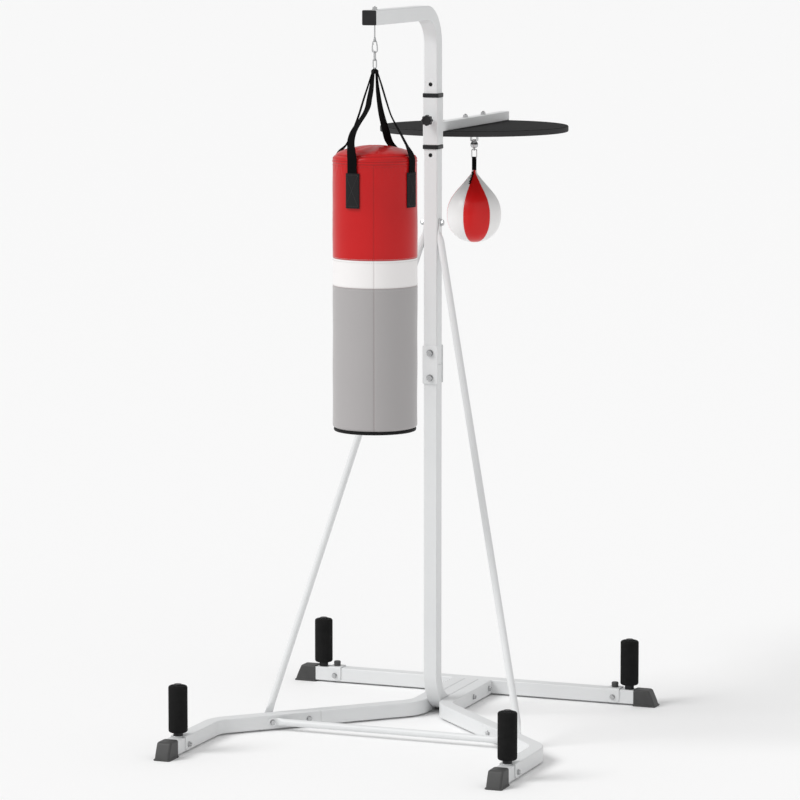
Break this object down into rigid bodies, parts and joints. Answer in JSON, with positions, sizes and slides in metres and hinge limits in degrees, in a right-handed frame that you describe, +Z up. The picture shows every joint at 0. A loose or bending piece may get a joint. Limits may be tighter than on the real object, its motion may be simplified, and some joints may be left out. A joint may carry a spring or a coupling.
{
  "type": "punching bag on stand",
  "caption": "Free-standing steel frame with a hanging punching bag, a height-adjustable speed-ball platform and foam rollers on the base.",
  "frame": {"origin": "on the floor, under the middle of the object's box", "axes": "+Z up, +Y towards the rear cross tube and platform, -Y towards the bag, +X to the right"},
  "size_m": [1.24, 1.579, 2.2438],
  "materials": {
    "white_powder_coat": "satin",
    "zinc_steel": "gloss",
    "black_rubber": "satin",
    "black_foam": "matte",
    "black_plastic": "satin",
    "black_board": "satin",
    "black_webbing": "matte",
    "bag_leather": "gloss",
    "black_leather": "satin",
    "textile_filling": "matte",
    "ball_leather": "gloss"
  },
  "bodies": {
    "frame": {"rear_cross_tube": "white_powder_coat", "lower_post": "white_powder_coat", "upper_mast": "white_powder_coat", "front_splice_plate": "white_powder_coat", "rear_splice_plate": "white_powder_coat", "arm_end_cap": "black_plastic", "front_bar": "white_powder_coat", "lower_splice_bolt": "zinc_steel", "upper_splice_bolt": "zinc_steel", "front_centre_bolt": "zinc_steel", "rear_centre_bolt": "zinc_steel", "brace_top_bolt": "zinc_steel", "left_inner_leg": "white_powder_coat", "left_outer_leg": "white_powder_coat", "left_brace": "white_powder_coat", "left_leg_bolt": "zinc_steel", "left_brace_bolt": "zinc_steel", "rear_left_boot": "black_rubber", "rear_left_clip": "white_powder_coat", "rear_left_clip_bolt": "zinc_steel", "rear_left_clip_plug": "black_rubber", "front_left_boot": "black_rubber", "front_left_clip": "white_powder_coat", "front_left_clip_bolt": "zinc_steel", "right_inner_leg": "white_powder_coat", "right_outer_leg": "white_powder_coat", "right_brace": "white_powder_coat", "right_leg_bolt": "zinc_steel", "right_brace_bolt": "zinc_steel", "rear_right_boot": "black_rubber", "rear_right_clip": "white_powder_coat", "rear_right_clip_bolt": "zinc_steel", "rear_right_clip_plug": "black_rubber", "front_right_boot": "black_rubber", "front_right_clip": "white_powder_coat", "front_right_clip_bolt": "zinc_steel"},
    "front_left_foam": {"front_left_roller": "black_foam"},
    "front_right_foam": {"front_right_roller": "black_foam"},
    "rear_left_foam": {"rear_left_roller": "black_foam"},
    "rear_right_foam": {"rear_right_roller": "black_foam"},
    "platform_carriage": {"height_sleeve": "white_powder_coat", "lower_bush": "black_plastic", "upper_bush": "black_plastic", "platform": "black_board", "front_platform_bolt": "zinc_steel", "rear_platform_bolt": "zinc_steel", "swivel_plate": "zinc_steel"},
    "locking_knob": {"height_knob": "black_plastic"},
    "swivel": {"swivel_head": "zinc_steel"},
    "ball_hook": {"ball_link": "zinc_steel"},
    "ball": {"speed_ball_loop": "black_webbing", "speed_ball": "ball_leather"},
    "bag_hanger": {"hanger_eyebolt": "zinc_steel"},
    "bag_carabiner": {"carabiner": "zinc_steel"},
    "bag": {"chain_link": "zinc_steel", "bag_ring": "zinc_steel", "bag_harness": "black_webbing", "punching_bag": "bag_leather", "bag_filling": "textile_filling", "bag_base": "black_leather"}
  },
  "joints": [
    {"name": "sleeve_height", "type": "slide", "parent": "frame", "child": "platform_carriage", "axis": [0, 0, 1], "range_m": [-0.1095, 0.1095]},
    {"name": "knob_pull", "type": "slide", "parent": "platform_carriage", "child": "locking_knob", "axis": [0, -1, 0], "range_m": [0, 0.01], "stiffness_N_per_m": 800},
    {"name": "swivel_turn", "type": "hinge", "parent": "platform_carriage", "child": "swivel", "pos_m": [0, 0.4895, 1.79], "axis": [0, 0, 1], "continuous": true},
    {"name": "link_swing", "type": "hinge", "parent": "swivel", "child": "ball_hook", "pos_m": [0, 0.4895, 1.762], "axis": [1, 0, 0], "range_deg": [-55, 55]},
    {"name": "ball_swing", "type": "hinge", "parent": "ball_hook", "child": "ball", "pos_m": [0, 0.4895, 1.733], "axis": [1, 0, 0], "range_deg": [-20, 20]},
    {"name": "bag_turn", "type": "hinge", "parent": "frame", "child": "bag_hanger", "pos_m": [0, -0.378, 2.2], "axis": [0, 0, 1], "continuous": true},
    {"name": "bag_swing", "type": "hinge", "parent": "bag_hanger", "child": "bag_carabiner", "pos_m": [0, -0.378, 2.142], "axis": [1, 0, 0], "range_deg": [-60, 16]},
    {"name": "bag_sway", "type": "hinge", "parent": "bag_carabiner", "child": "bag", "pos_m": [0, -0.378, 2.1092], "axis": [0, 1, 0], "range_deg": [-60, 60]},
    {"name": "front_left_roller_spin", "type": "hinge", "parent": "frame", "child": "front_left_foam", "pos_m": [-0.526, -0.6635, 0.13], "axis": [0, 0, 1], "continuous": true},
    {"name": "front_right_roller_spin", "type": "hinge", "parent": "frame", "child": "front_right_foam", "pos_m": [0.526, -0.6635, 0.13], "axis": [0, 0, 1], "continuous": true},
    {"name": "rear_left_roller_spin", "type": "hinge", "parent": "frame", "child": "rear_left_foam", "pos_m": [-0.526, 0.5015, 0.13], "axis": [0, 0, 1], "continuous": true},
    {"name": "rear_right_roller_spin", "type": "hinge", "parent": "frame", "child": "rear_right_foam", "pos_m": [0.526, 0.5015, 0.13], "axis": [0, 0, 1], "continuous": true}
  ]
}
